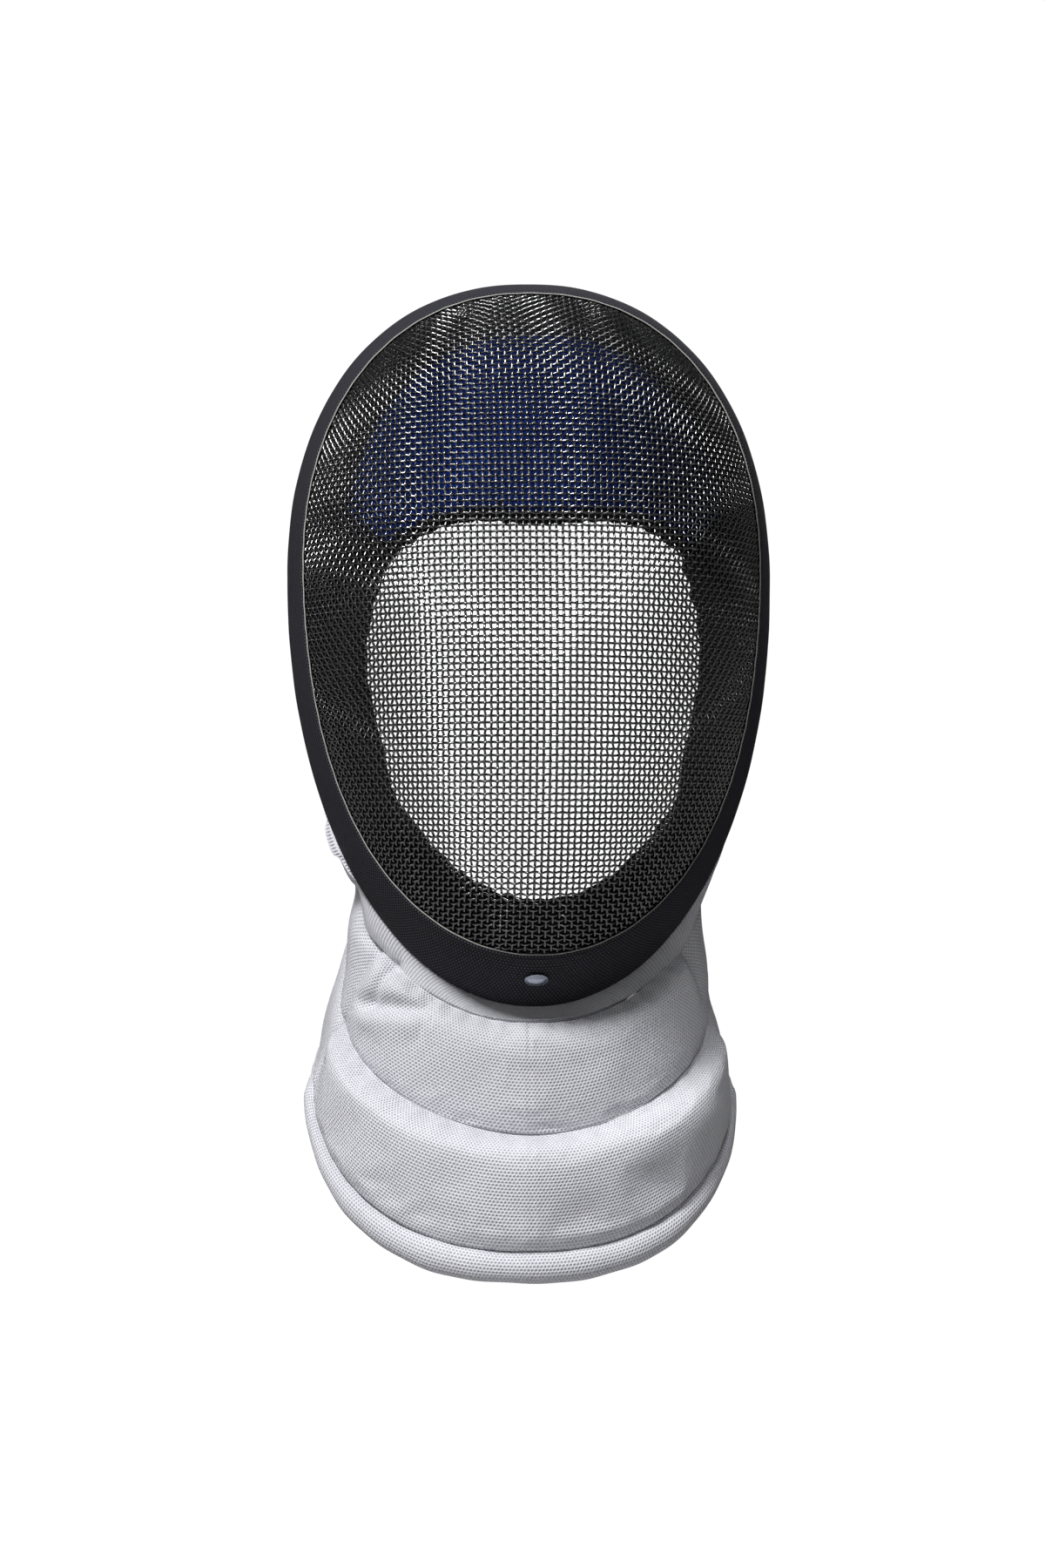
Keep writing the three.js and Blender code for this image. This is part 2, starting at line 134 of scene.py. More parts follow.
MM = 0.001
HALF_WIDTH, TOP, WIDEST, CHIN = 116, 27, -117, -321
FRONT_Y, POLE_Z = -120, -168
RIM_CROWN_Y, RIM_CHIN_Y, RIM_EAR_BOW = 18, -32, 14
OUTLINE_POWER = (2.22, 2.05)
# Of a section from the rim to the front pole, towards the side, up and down: the share of a quarter oval that
# the rim cuts off, and the oval's two powers.
SECTION = np.array([[0.16, 2.0, 1.7], [0.12, 2.15, 2.15], [0.45, 2.0, 2.0]])
WIRE_PITCH, WIRE_RADIUS, CRIMP = 3.1, 0.6, 0.61
CROSS_SEED_Z = -241
TAPE_WIDTH, TAPE_CHIN_EXTRA = 29, 13


def rim(t):
    """The rim's middle at angle t from +X: two half superellipses, bowed back at the ears."""
    c, s = np.cos(t), np.sin(t)
    height = np.where(s >= 0, TOP - WIDEST, WIDEST - CHIN)
    power = np.where(s >= 0, *OUTLINE_POWER)
    r = (np.abs(c / HALF_WIDTH) ** power + np.abs(s / height) ** power) ** (-1 / power)
    z = WIDEST + r * s
    share = (z - CHIN) / (TOP - CHIN)
    y = RIM_CHIN_Y + (RIM_CROWN_Y - RIM_CHIN_Y) * share + RIM_EAR_BOW * np.sin(pi * share)
    return np.stack([r * c, y, z], -1)


def blend_by_direction(t, table):
    """Mixes a table's values for the side, up and down by the squares of the rim's way from the pole."""
    x, _, z = np.moveaxis(rim(t), -1, 0)
    vertical = (z - POLE_Z) ** 2 / (x**2 + (z - POLE_Z) ** 2)
    upwards = np.where(z > POLE_Z, vertical, 0)
    weights = np.stack([1 - vertical, upwards, vertical - upwards])
    return np.tensordot(np.asarray(table, float).T, weights, 1)


def wall(t, v):
    """The bowl's middle surface at angle t, v from 0 at the rim to 1 at the pole: a quarter superoval."""
    t, v = np.broadcast_arrays(t, v)
    start, across, deep = blend_by_direction(t, SECTION)
    h = 1 - (1 - start) * (1 - v) ** 2
    out = (np.clip(1 - h**deep, 0, None) / (1 - start**deep)) ** (1 / across)
    back = (1 - h) / (1 - start)
    x, y, z = np.moveaxis(rim(t), -1, 0)
    return np.stack([out * x, FRONT_Y + (y - FRONT_Y) * back, POLE_Z + (z - POLE_Z) * out], -1)


def unit(vectors):
    return vectors / np.maximum(np.linalg.norm(vectors, axis=-1, keepdims=True), 1e-12)


def wall_normal(t, v):
    """The outward normal: the cross product of two small steps, one round the bowl and one to the pole."""
    step = 1e-3
    v = np.clip(v, 0, 0.99)
    round_rim = wall(t + step, v) - wall(t - step, v)
    to_pole = wall(t, v + step) - wall(t, np.maximum(v - step, 0))
    return unit(np.cross(round_rim, to_pole))


def off_wall(t, v, offset):
    """The bowl's surface moved out along its normal by an offset."""
    return wall(t, v) + wall_normal(t, v) * np.asarray(offset, float)[..., None]


def v_at_length(t, length):
    """The v that lies a length in from the rim: the wall's arc is summed in small steps and read backwards."""
    t, length = np.asarray(t, float), np.asarray(length, float)
    marks = np.linspace(0, 1, 241)
    track = wall(t[..., None], marks)
    arc = np.cumsum(np.linalg.norm(np.diff(track, axis=-2), axis=-1), -1)
    arc = np.concatenate([np.zeros_like(arc[..., :1]), arc], -1)
    arc = np.broadcast_to(arc, np.broadcast_shapes(t.shape, length.shape) + marks.shape)
    place = np.clip((arc < length[..., None]).sum(-1) - 1, 0, len(marks) - 2)
    low = np.take_along_axis(arc, place[..., None], -1)[..., 0]
    high = np.take_along_axis(arc, place[..., None] + 1, -1)[..., 0]
    return (place + (length - low) / (high - low)) / (len(marks) - 1)


def v_at_share(t, share):
    """The v at a share of the way from the pole out to the rim in the front view."""
    start, across, deep = blend_by_direction(t, SECTION)
    h = (1 - share**across * (1 - start**deep)) ** (1 / deep)
    return 1 - np.sqrt((1 - h) / (1 - start))


def tape_width(t):
    return TAPE_WIDTH + TAPE_CHIN_EXTRA * blend_by_direction(t, [0, 0, 1]) ** 3


turn_table = np.linspace(-pi, pi, 2881)
rim_table = rim(turn_table)
direction_table = np.unwrap(np.arctan2(rim_table[:, 2] - POLE_Z, rim_table[:, 0]))


def turn_at(x, z):
    """The angle t whose rim point lies in the direction of (x, z) from the pole."""
    direction = np.arctan2(z - POLE_Z, x)
    period = 2 * pi
    return np.interp(direction, direction_table, turn_table, period=period)


def bowl_depth(x, z):
    """The wall's y at a place in the front view, carried on straight past the rim."""
    t = turn_at(x, z)
    start, across, deep = blend_by_direction(t, SECTION)
    edge = rim(t)
    share = np.hypot(x, z - POLE_Z) / np.hypot(edge[..., 0], edge[..., 2] - POLE_Z)
    inside = np.minimum(share, 1)
    h = (1 - inside**across * (1 - start**deep)) ** (1 / deep)
    depth = (edge[..., 1] - FRONT_Y) / (1 - start)
    slope = depth * across * (1 - start**deep) / (deep * start ** (deep - 1))
    return FRONT_Y + depth * (1 - h) + slope * (share - inside)


def on_bowl(x, z):
    return np.stack([x, bowl_depth(x, z), z], -1)


def even_steps(x, z, count):
    """Points a wire's pitch apart along a line on the bowl, from its first point."""
    line = on_bowl(x, z)
    arc = np.concatenate([[0], np.cumsum(np.linalg.norm(np.diff(line, axis=0), axis=1))])
    at = np.arange(count) * WIRE_PITCH
    return on_bowl(np.interp(at, arc, x), np.interp(at, arc, z))


def woven_quarter(centre_line, side_line):
    """The crossings between two wires that start square to each other. A front of crossings is worked out at
    a time: each lies one pitch from two that are known, which Newton's steps find on the bowl."""
    net = np.full((len(side_line), len(centre_line), 3), np.nan)
    net[0], net[:, 0] = centre_line, side_line
    nudge = 0.01
    for front in range(2, sum(net.shape[:2]) - 1):
        i = np.arange(max(1, front - net.shape[1] + 1), min(front, net.shape[0]))
        j = front - i
        below, beside = net[i, j - 1], net[i - 1, j]
        guess = below + beside - net[i - 1, j - 1]
        x, z = guess[:, 0].copy(), guess[:, 2].copy()
        for _ in range(7):
            here = on_bowl(x, z)
            along_x = (on_bowl(x + nudge, z) - here) / nudge
            along_z = (on_bowl(x, z + nudge) - here) / nudge
            gaps = [here - below, here - beside]
            misses = [(gap**2).sum(1) - WIRE_PITCH**2 for gap in gaps]
            (a, b), (c, d) = [[2 * (gap * way).sum(1) for way in (along_x, along_z)] for gap in gaps]
            det = a * d - b * c
            det = np.where(np.abs(det) < 1e-6, np.nan, det)
            x -= np.clip((misses[0] * d - misses[1] * b) / det, -1.5, 1.5)
            z -= np.clip((misses[1] * a - misses[0] * c) / det, -1.5, 1.5)
        found = on_bowl(x, z)
        miss = np.abs(np.linalg.norm(found - below, axis=1) - WIRE_PITCH)
        net[i, j] = np.where(miss[:, None] < 0.05, found, np.nan)
    return net


reach_up, reach_down, reach_side = 112, 52, 74
heights_up = np.linspace(CROSS_SEED_Z, TOP + 12, 1500)
heights_down = np.linspace(CROSS_SEED_Z, CHIN - 40, 900)
widths = np.linspace(0, HALF_WIDTH + 14, 1200)
centre_up = even_steps(0 * heights_up, heights_up, reach_up)
centre_down = even_steps(0 * heights_down, heights_down, reach_down)
side_line = even_steps(widths, np.full_like(widths, CROSS_SEED_Z), reach_side)
upper = woven_quarter(centre_up, side_line)
lower = woven_quarter(centre_down, side_line)
half_net = np.concatenate([lower[:, :0:-1], upper], 1)
mirrored = half_net[:0:-1] * np.array([-1, 1, 1])
net = np.concatenate([mirrored, half_net], 0)

step = 0.02
slope_x = (bowl_depth(net[..., 0] + step, net[..., 2]) - bowl_depth(net[..., 0] - step, net[..., 2])) / (2 * step)
slope_z = (bowl_depth(net[..., 0], net[..., 2] + step) - bowl_depth(net[..., 0], net[..., 2] - step)) / (2 * step)
net_normal = unit(np.stack([slope_x, -np.ones_like(slope_x), slope_z], -1))

hidden_length = tape_width(turn_table) - 9
hidden_edge = wall(turn_table, v_at_length(turn_table, hidden_length))
edge_share = np.hypot(hidden_edge[:, 0], hidden_edge[:, 2] - POLE_Z) / np.hypot(
    rim_table[:, 0], rim_table[:, 2] - POLE_Z
)
net_turn = turn_at(net[..., 0], net[..., 2])
net_rim = rim(net_turn)
net_share = np.hypot(net[..., 0], net[..., 2] - POLE_Z) / np.hypot(net_rim[..., 0], net_rim[..., 2] - POLE_Z)
woven = np.isfinite(net_share) & (net_share < np.interp(net_turn, turn_table, edge_share))
over = np.where(np.indices(woven.shape).sum(0) % 2, 1.0, -1.0)


def tube(path, normals, radius, sides):
    """A closed tube: rings round a path, each ring a circle in the plane of the normal and the side way, and
    a cap of triangles on a middle point at each end."""
    tangent = unit(np.gradient(path, axis=0))
    sideways = unit(np.cross(tangent, normals))
    upwards = np.cross(sideways, tangent)
    a = np.arange(sides) / sides * 2 * pi
    rings = path[:, None] + radius * (
        np.cos(a)[None, :, None] * sideways[:, None] + np.sin(a)[None, :, None] * upwards[:, None]
    )
    count = len(path)
    points = np.concatenate([rings.reshape(-1, 3), path[:1], path[-1:]])
    k = np.arange(count - 1)[:, None] * sides
    s = np.arange(sides)[None]
    s_next = (s + 1) % sides
    quads = np.stack([k + s, k + sides + s, k + sides + s_next, k + s_next], -1).reshape(-1, 4)
    s, s_next = s[0], s_next[0]
    last = (count - 1) * sides
    first_cap = np.stack([s, s_next, np.full(sides, count * sides)], -1)
    last_cap = np.stack([last + s_next, last + s, np.full(sides, count * sides + 1)], -1)
    return points, quads, np.concatenate([first_cap, last_cap])


def add_piece(name, points, face_sets, uv=None):
    """A smooth mesh object at the origin from points in millimetres and arrays of faces. uv holds a pair in
    metres for each corner of each face."""
    volume = sum(
        np.einsum("ij,ij->", points[f[:, 0]], np.cross(points[f[:, 1]], points[f[:, 2]])) for f in face_sets
    )
    volume += sum(
        np.einsum("ij,ij->", points[f[:, 0]], np.cross(points[f[:, 2]], points[f[:, 3]]))
        for f in face_sets
        if f.shape[1] == 4
    )
    if volume < 0:
        face_sets = [faces[:, ::-1] for faces in face_sets]
        if uv is not None:
            cuts = np.cumsum([faces.size for faces in face_sets])[:-1]
            sets = zip(np.split(uv, cuts), face_sets)
            uv = np.concatenate([part.reshape(*faces.shape, 2)[:, ::-1].reshape(-1, 2) for part, faces in sets])
    mesh = bpy.data.meshes.new(name)
    corners = np.concatenate([faces.ravel() for faces in face_sets])
    sizes = np.concatenate([np.full(len(faces), faces.shape[1]) for faces in face_sets])
    mesh.vertices.add(len(points))
    mesh.vertices.foreach_set("co", (np.asarray(points) * MM).astype(np.float32).ravel())
    mesh.loops.add(len(corners))
    mesh.loops.foreach_set("vertex_index", corners.astype(np.int32))
    mesh.polygons.add(len(sizes))
    mesh.polygons.foreach_set("loop_start", np.concatenate([[0], np.cumsum(sizes)[:-1]]).astype(np.int32))
    if uv is not None:
        layer = mesh.uv_layers.new(name="cloth")
        layer.uv.foreach_set("vector", (np.asarray(uv) * MM).astype(np.float32).ravel())
    mesh.update(calc_edges=True)
    mesh.validate()
    mesh.polygons.foreach_set("use_smooth", np.ones(len(sizes), bool))
    piece = bpy.data.objects.new(name, mesh)
    bpy.context.collection.objects.link(piece)
    return piece


def dress(piece, material, slot, *nodes):
    """Gives a piece its material, hangs it on the root body and hides the CAD parts that it stands for."""
    piece.data.materials.append(material)
    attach(piece, "root")
    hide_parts(*nodes)


def plain_material(name, color, roughness, **sockets):
    """A Principled material with uniform values on the shader's own sockets."""
    material = bpy.data.materials.new(name)
    material.use_nodes = True
    shader = material.node_tree.nodes["Principled BSDF"]
    shader.inputs["Base Color"].default_value = (*color, 1)
    shader.inputs["Roughness"].default_value = roughness
    for socket, value in sockets.items():
        shader.inputs[socket.replace("_", " ")].default_value = value
    return material, material.node_tree, shader


def wire_bundle(name, wires, side):
    """Joins the wires that run one way. Each wire's path goes over and under at its crossings, and between
    two of them it follows half a cosine wave, read at two places."""
    parts = []
    for points, normals, lifts, shown in wires:
        run = np.flatnonzero(np.diff(np.concatenate([[False], shown, [False]]).astype(int)))
        for first, last in run.reshape(-1, 2):
            if last - first < 3:
                continue
            at, up, lift = points[first:last], normals[first:last], side * CRIMP * lifts[first:last]
            path = np.empty((3 * len(at) - 2, 3))
            ways = np.empty_like(path)
            path[::3], ways[::3] = at + up * lift[:, None], up
            for place, share in ((1, 0.28), (2, 0.72)):
                middle_way = unit(up[:-1] * (1 - share) + up[1:] * share)
                height = lift[:-1] * cos(pi * share)
                path[place::3] = at[:-1] * (1 - share) + at[1:] * share + middle_way * height[:, None]
                ways[place::3] = middle_way
            parts.append(tube(path, ways, WIRE_RADIUS, 6))
    starts = np.cumsum([0] + [len(p[0]) for p in parts[:-1]])
    points = np.concatenate([p[0] for p in parts])
    quads = np.concatenate([p[1] + start for p, start in zip(parts, starts)])
    caps = np.concatenate([p[2] + start for p, start in zip(parts, starts)])
    return add_piece(name, points, [quads, caps])


coated_wire, nodes_wire, wire_shader = plain_material(
    "coated_wire", (0.003, 0.003, 0.0035), 0.3, Specular_IOR_Level=0.6, Coat_Weight=1.0, Coat_Roughness=0.1, Coat_IOR=2.1
)
wear = nodes_wire.nodes.new("ShaderNodeTexNoise")
wear.inputs["Scale"].default_value = 260
wear.inputs["Detail"].default_value = 3
place = nodes_wire.nodes.new("ShaderNodeTexCoord")
nodes_wire.links.new(place.outputs["Object"], wear.inputs["Vector"])
dullness = nodes_wire.nodes.new("ShaderNodeMapRange")
dullness.inputs["To Min"].default_value = 0.15
dullness.inputs["To Max"].default_value = 0.3
nodes_wire.links.new(wear.outputs["Fac"], dullness.inputs["Value"])
nodes_wire.links.new(dullness.outputs["Result"], wire_shader.inputs["Roughness"])

middle = net.shape[0] // 2
seed_row = reach_down - 1
uprights = [(net[i], net_normal[i], over[i], woven[i]) for i in range(net.shape[0])]
crosses = [(net[:, j], net_normal[:, j], over[:, j], woven[:, j]) for j in range(net.shape[1])]
bundles = [
    ("mesh_uprights_left", uprights[:middle], 1),
    ("mesh_uprights_right", uprights[middle:], 1),
    ("mesh_cross_wires_low", crosses[: seed_row + 15], -1),
    ("mesh_cross_wires_middle", crosses[seed_row + 15 : seed_row + 42], -1),
    ("mesh_cross_wires_high", crosses[seed_row + 42 :], -1),
]
for name, wires, side in bundles:
    dress(wire_bundle(name, wires, side), coated_wire, "coated_wire", "mesh_cage")

# ------------------------------------------------------------------------------------------- the rim's tape
# A black ribbed tape folded over the wires' cut ends, one leaf outside and one inside, glued and sewn on. It
# is one closed band: its U-shaped section is carried round the rim.

LEAF_IN, LEAF_OUT, FOLD_BACK = 1.3, 2.5, 1.5


def grid_faces(points, wrap_rows=False, wrap_columns=False):
    """The quads of a grid of points, and each corner's place on the cloth: how far it lies along the grid's
    lines, on average, in both ways."""
    rows, columns = points.shape[:2]
    r = np.arange(rows if wrap_rows else rows - 1)[:, None, None]
    c = np.arange(columns if wrap_columns else columns - 1)[None, :, None]
    corner_rows, corner_columns = np.broadcast_arrays(r + np.array([0, 1, 1, 0]), c + np.array([0, 0, 1, 1]))
    faces = (corner_rows % rows) * columns + corner_columns % columns
    down = np.linalg.norm(np.diff(points, axis=0, append=points[:1]), axis=-1).mean(1)
    across = np.linalg.norm(np.diff(points, axis=1, append=points[:, :1]), axis=-1).mean(0)
    along_rows, along_columns = (np.concatenate([[0], np.cumsum(x)]) for x in (down, across))
    uv = np.stack([along_rows[corner_rows], along_columns[corner_columns]], -1)
    return faces.reshape(-1, 4), uv.reshape(-1, 2)


def tape_leaf(t, lengths, offset):
    """A leaf of the tape: points a length in from the rim, off the wall by an offset."""
    return off_wall(t[:, None], v_at_length(t[:, None], lengths), offset)


def to_pole(t, v):
    """The unit way along the wall towards the front pole."""
    return unit(wall(t, v + 0.01) - wall(t, v))


turns = np.linspace(0, 2 * pi, 320, endpoint=False)
width = tape_width(turns)[:, None]
wave = 0.25 * np.sin(turns * 23)[:, None] + 0.2 * np.sin(turns * 9 + 1)[:, None]
across_tape = np.array([0.004, -0.004, 0.012, 0.05, 0.12, 0.22, 0.34, 0.48, 0.62, 0.76, 0.9, 1.0])
lengths = width * (1 - across_tape)
puff = np.array([0, 0.4, 0.85, 1.05, 1.0, 1.0, 1.0, 1.0, 1.0, 1.0, 1.0, 1.0])
chin_ridges = 0.22 * np.sin(across_tape * 38) * np.clip(blend_by_direction(turns, [0, 0, 1]), 0, 1)[:, None] ** 4
leaf_height = LEAF_IN + (LEAF_OUT - LEAF_IN) * puff + (chin_ridges + 0.3 * wave * across_tape) * (puff >= 1)
outer_leaf = tape_leaf(turns, lengths, leaf_height)
inner_leaf = tape_leaf(turns, lengths, -(LEAF_IN + (LEAF_OUT - LEAF_IN) * puff))[:, ::-1]
bend = np.radians(np.linspace(75, -75, 6))
behind = -to_pole(turns, 0 * turns)[:, None] * (FOLD_BACK * np.cos(bend))[None, :, None]
fold = off_wall(turns[:, None], 0 * turns[:, None], LEAF_OUT * np.sin(bend)[None]) + behind
under_leaf = tape_leaf(turns, width * np.array([0.97, 0.7, 0.4, 0.15, 0.0]), LEAF_IN)
under_back = tape_leaf(turns, width * np.array([0.97, 0.7, 0.4, 0.15, 0.0]), -LEAF_IN)
band = np.concatenate([outer_leaf, fold, inner_leaf, under_back, under_leaf[:, ::-1]], 1)
faces, uv = grid_faces(band, wrap_rows=True, wrap_columns=True)
tape = add_piece("bound_tape", band.reshape(-1, 3), [faces], uv)


def knit_group():
    """A field of round pits on a honeycomb. Three cosine waves, a third of a turn apart, are added: they all
    crest together once a pitch, and a pit lies on each crest."""
    group = bpy.data.node_groups.new("knit", "ShaderNodeTree")
    group.interface.new_socket("Place", in_out="INPUT", socket_type="NodeSocketVector")
    group.interface.new_socket("Pitch", in_out="INPUT", socket_type="NodeSocketFloat")
    group.interface.new_socket("Pits", in_out="OUTPUT", socket_type="NodeSocketFloat")
    start = group.nodes.new("NodeGroupInput")
    end = group.nodes.new("NodeGroupOutput")
    scale = group.nodes.new("ShaderNodeMath")
    scale.operation = "DIVIDE"
    scale.inputs[0].default_value = 4 * pi / 3**0.5
    group.links.new(start.outputs["Pitch"], scale.inputs[1])
    total = None
    for turn in (radians(90), radians(30), radians(150)):
        dot = group.nodes.new("ShaderNodeVectorMath")
        dot.operation = "DOT_PRODUCT"
        dot.inputs[1].default_value = (cos(turn), sin(turn), 0)
        group.links.new(start.outputs["Place"], dot.inputs[0])
        phase = group.nodes.new("ShaderNodeMath")
        phase.operation = "MULTIPLY"
        group.links.new(dot.outputs["Value"], phase.inputs[0])
        group.links.new(scale.outputs[0], phase.inputs[1])
        wave_node = group.nodes.new("ShaderNodeMath")
        wave_node.operation = "COSINE"
        group.links.new(phase.outputs[0], wave_node.inputs[0])
        if total is None:
            total = wave_node
            continue
        added = group.nodes.new("ShaderNodeMath")
        added.operation = "ADD"
        group.links.new(total.outputs[0], added.inputs[0])
        group.links.new(wave_node.outputs[0], added.inputs[1])
        total = added
    spread = group.nodes.new("ShaderNodeMapRange")
    spread.inputs["From Min"].default_value = -1.5
    spread.inputs["From Max"].default_value = 3.0
    group.links.new(total.outputs[0], spread.inputs["Value"])
    group.links.new(spread.outputs["Result"], end.inputs["Pits"])
    return group


knit = knit_group()


def knitted_material(name, high_color, pit_color, pitch, depth, stretch=(1, 1, 1), **sockets):
    """A cloth whose pits are deeper than the yarn round them and take their own colour, which where darker is painted
    shade in the pits, with a little unevenness of tone.
    """
    material, tree, shader = plain_material(name, high_color, 0.85, **sockets)
    cloth = tree.nodes.new("ShaderNodeUVMap")
    cloth.uv_map = "cloth"
    stretched = tree.nodes.new("ShaderNodeMapping")
    stretched.inputs["Scale"].default_value = stretch
    tree.links.new(cloth.outputs["UV"], stretched.inputs["Vector"])
    pits = tree.nodes.new("ShaderNodeGroup")
    pits.node_tree = knit
    pits.inputs["Pitch"].default_value = pitch
    tree.links.new(stretched.outputs["Vector"], pits.inputs["Place"])
    # The pit colour mixed in here is painted shade in the pits wherever it is darker than the yarn.
    tone = tree.nodes.new("ShaderNodeMix")
    tone.data_type = "RGBA"
    tone.inputs["A"].default_value = (*high_color, 1)
    tone.inputs["B"].default_value = (*pit_color, 1)
    tree.links.new(pits.outputs["Pits"], tone.inputs["Factor"])
    where = tree.nodes.new("ShaderNodeTexCoord")
    uneven = tree.nodes.new("ShaderNodeTexNoise")
    uneven.inputs["Scale"].default_value = 900
    uneven.inputs["Detail"].default_value = 3
    tree.links.new(where.outputs["Object"], uneven.inputs["Vector"])
    shade = tree.nodes.new("ShaderNodeMapRange")
    shade.inputs["To Min"].default_value = 0.8
    shade.inputs["To Max"].default_value = 1.15
    tree.links.new(uneven.outputs["Fac"], shade.inputs["Value"])
    worn = tree.nodes.new("ShaderNodeVectorMath")
    worn.operation = "SCALE"
    tree.links.new(tone.outputs["Result"], worn.inputs[0])
    tree.links.new(shade.outputs["Result"], worn.inputs["Scale"])
    tree.links.new(worn.outputs["Vector"], shader.inputs["Base Color"])
    relief = tree.nodes.new("ShaderNodeBump")
    relief.invert = True
    relief.inputs["Strength"].default_value = 0.8
    relief.inputs["Distance"].default_value = depth
    tree.links.new(pits.outputs["Pits"], relief.inputs["Height"])
    tree.links.new(relief.outputs["Normal"], shader.inputs["Normal"])
    return material


black_tape = knitted_material(
    "black_tape", (0.004, 0.004, 0.005), (0.075, 0.075, 0.095), 0.0017, 0.0004, (1, 1, 1), Specular_IOR_Level=0.18
)
dress(tape, black_tape, "black_tape", "rim_tape")

# ------------------------------------------------------------------------------------------- the edge thread
# A pale thread that runs along the tape's front edge on the wires, where the tape is sewn down. It is one
# fine round cord.

THREAD_RADIUS = 0.3
thread_v = v_at_length(turns, tape_width(turns) + 0.25)
thread_path = off_wall(turns, thread_v, 1.32 + THREAD_RADIUS + 0.08 * np.sin(turns * 61))
thread_a = np.arange(8) / 8 * 2 * pi
thread_rings = thread_path[:, None] + THREAD_RADIUS * (
    np.cos(thread_a)[None, :, None] * to_pole(turns, thread_v)[:, None]
    + np.sin(thread_a)[None, :, None] * wall_normal(turns, thread_v)[:, None]
)
faces, uv = grid_faces(thread_rings, wrap_rows=True, wrap_columns=True)
thread = add_piece("edge_thread", thread_rings.reshape(-1, 3), [faces], uv)
# The thread's darker pit colour is painted shade in its fine pits.
pale_thread = knitted_material("pale_thread", (0.46, 0.46, 0.43), (0.25, 0.25, 0.24), 0.0007, 0.0001)
dress(thread, pale_thread, "pale_thread", "tape_edge_cord")

# ------------------------------------------------------------------------------------------- the chin stud
# A press stud of polished steel set through the tape under the chin: a low dome in a rolled flange. Its
# profile is turned about its own axis, which stands square to the bowl.

STUD_PLACE, FLANGE_RADIUS, DOME_RADIUS, DOME_HEIGHT, STUD_LEAN = 0.6, 5.8, 4.7, 2.4, 0.28
chin = np.array(1.5 * pi)
stud_v = v_at_length(chin, tape_width(chin) * STUD_PLACE)
stud_axis = unit(wall_normal(chin, stud_v) + [0, 0, -STUD_LEAN])
stud_seat = off_wall(chin, stud_v, LEAF_OUT + 0.05)
roll = np.radians(np.linspace(-90, 110, 12))
flange = np.stack([FLANGE_RADIUS - 0.45 + 0.45 * np.cos(roll), 0.45 + 0.45 * np.sin(roll)], -1)
dome = np.radians(np.linspace(8, 89.5, 14))
crown_of_dome = np.stack([DOME_RADIUS * np.cos(dome), 0.6 + (DOME_HEIGHT - 0.6) * np.sin(dome)], -1)
profile = np.concatenate([[[0.02, 0.0]], flange, crown_of_dome])
stud_x = unit(np.cross([0, 1, 0], stud_axis))
stud_y = np.cross(stud_axis, stud_x)
spin = np.linspace(0, 2 * pi, 48, endpoint=False)
ring_ways = np.cos(spin)[:, None] * stud_x + np.sin(spin)[:, None] * stud_y
stud_points = stud_seat + profile[None, :, :1] * ring_ways[:, None] + profile[None, :, 1:] * stud_axis
faces, uv = grid_faces(stud_points, wrap_rows=True)
count, rings = stud_points.shape[:2]
stud_points = np.concatenate([stud_points.reshape(-1, 3), [stud_seat, stud_seat + DOME_HEIGHT * stud_axis]])
k = np.arange(count)
foot = np.stack([((k + 1) % count) * rings, k * rings, np.full(count, count * rings)], -1)
tip = np.stack([k * rings + rings - 1, ((k + 1) % count) * rings + rings - 1, np.full(count, count * rings + 1)], -1)
stud = add_piece("press_stud", stud_points, [faces, foot[:, ::-1], tip[:, ::-1]])
polished_steel, steel_tree, steel_shader = plain_material(
    "polished_steel", (0.42, 0.45, 0.53), 0.2, Metallic=1.0
)
scuffs = steel_tree.nodes.new("ShaderNodeTexNoise")
scuffs.inputs["Scale"].default_value = 1500
steel_place = steel_tree.nodes.new("ShaderNodeTexCoord")
steel_tree.links.new(steel_place.outputs["Object"], scuffs.inputs["Vector"])
steel_rough = steel_tree.nodes.new("ShaderNodeMapRange")
steel_rough.inputs["To Min"].default_value = 0.12
steel_rough.inputs["To Max"].default_value = 0.34
steel_tree.links.new(scuffs.outputs["Fac"], steel_rough.inputs["Value"])
steel_tree.links.new(steel_rough.outputs["Result"], steel_shader.inputs["Roughness"])
dress(stud, polished_steel, "polished_steel", "chin_stud")

# ------------------------------------------------------------------------------------------- the liner
# Foam pads in brushed cloth, fixed inside the bowl round the wearer's face: navy over the forehead and black
# everywhere else. Each is a shell on the bowl's inner side, full in its middle and sewn thin at its edges.

LINER_EDGE = [0.82, 0.385, 0.7]
CROWN_EDGE = (0.74, 0.87)
PAD_OFFSET = 3.2


def liner_share(t):
    return blend_by_direction(t, LINER_EDGE)


def reach_from_pole(t):
    edge = rim(t)
    return np.hypot(edge[..., 0], edge[..., 2] - POLE_Z)


def crown_share(t):
    return CROWN_EDGE[0] + (CROWN_EDGE[1] - CROWN_EDGE[0]) * (rim(t)[..., 2] - POLE_Z) / reach_from_pole(t)


def binding_share(t):
    return liner_share(t) + 5.5 / reach_from_pole(t)


def full_share(t):
    return np.full_like(t, 0.985)


def shell(outer, inner):
    """A closed shell between two grids of points that are the same size: the two sides, the long edges
    between them, and a row of quads across each end."""
    ring = np.concatenate([outer, inner[:, ::-1]], 1)
    faces, uv = grid_faces(ring, wrap_columns=True)
    rows, around = ring.shape[:2]
    k = np.arange(around // 2 - 1)
    first = np.stack([k + 1, k, around - 1 - k, around - 2 - k], -1)
    last = first[:, ::-1] + (rows - 1) * around
    ends = np.concatenate([first, last])
    flat_ends = np.zeros((ends.size, 2))
    return ring.reshape(-1, 3), [np.concatenate([faces, ends])], np.concatenate([uv, flat_ends])


def fullness(x):
    """How far a cushion stands up at x from 0 to 1 between its seams: round at both and level between."""
    return np.sqrt(np.clip(1 - (2 * x - 1) ** 6, 0, 1))


